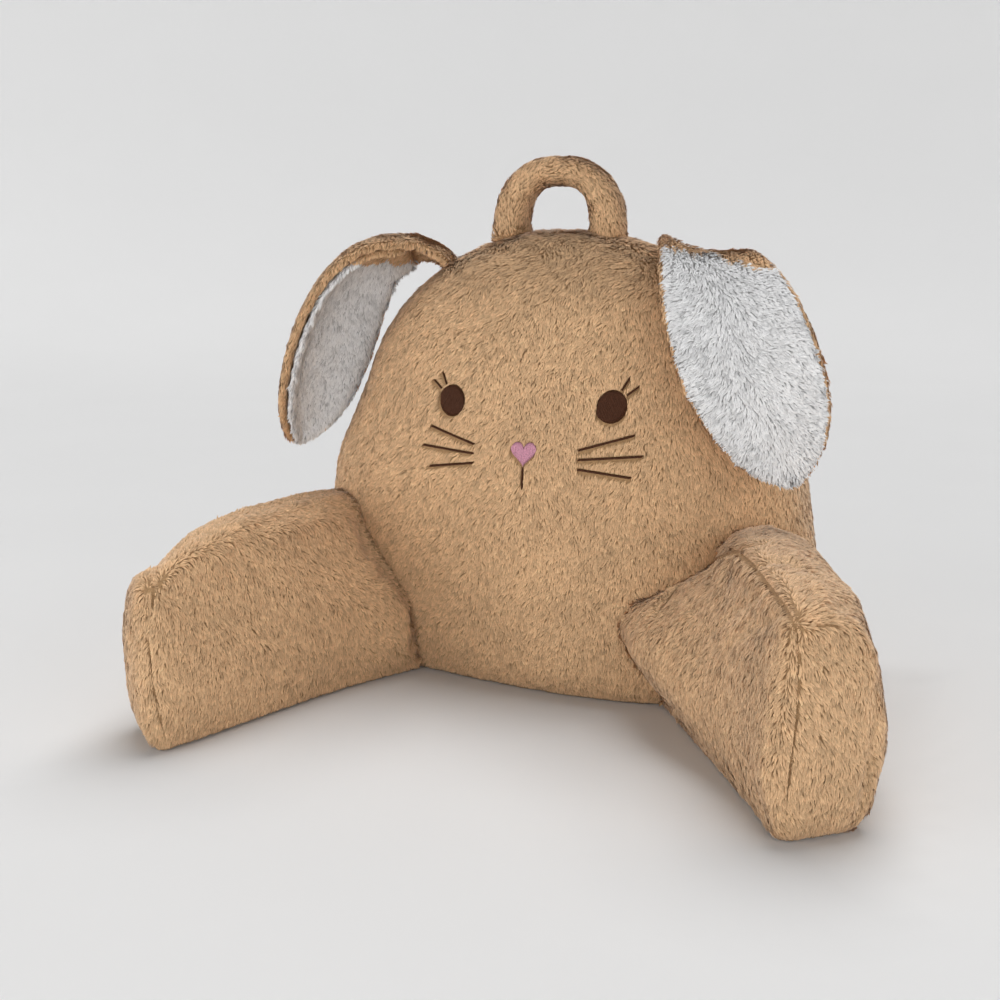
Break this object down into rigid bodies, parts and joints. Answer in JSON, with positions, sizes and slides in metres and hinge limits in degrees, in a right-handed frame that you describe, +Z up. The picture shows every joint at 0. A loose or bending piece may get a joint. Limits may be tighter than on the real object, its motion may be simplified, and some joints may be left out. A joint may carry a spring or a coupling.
{
  "type": "backrest pillow",
  "caption": "Plush backrest pillow with two splayed arms, a carry handle on top, floppy ears and a plain sewn rabbit face.",
  "frame": {"origin": "middle of the backrest's flat base on the surface it stands on", "axes": "+Z up, -Y towards the person who sits against it, +X to the right of someone looking at the face"},
  "size_m": [0.5993, 0.4795, 0.4646],
  "materials": {
    "tan_fur": "short plush pile, matt with a soft sheen",
    "white_fur": "short white plush pile",
    "brown_thread": "satin stitch embroidery",
    "pink_thread": "satin stitch embroidery"
  },
  "bodies": {
    "root": {"backrest": "tan_fur", "arm_left": "tan_fur", "arm_right": "tan_fur", "handle": "tan_fur", "ear_left_outer": "tan_fur", "ear_right_outer": "tan_fur", "ear_left_lining": "white_fur", "ear_right_lining": "white_fur", "eye_left": "brown_thread", "eye_right": "brown_thread", "nose": "pink_thread", "mouth": "brown_thread", "lash_left_1": "brown_thread", "lash_left_2": "brown_thread", "whisker_left_1": "brown_thread", "whisker_left_2": "brown_thread", "whisker_left_3": "brown_thread", "lash_right_1": "brown_thread", "lash_right_2": "brown_thread", "whisker_right_1": "brown_thread", "whisker_right_2": "brown_thread", "whisker_right_3": "brown_thread"}
  },
  "joints": []
}
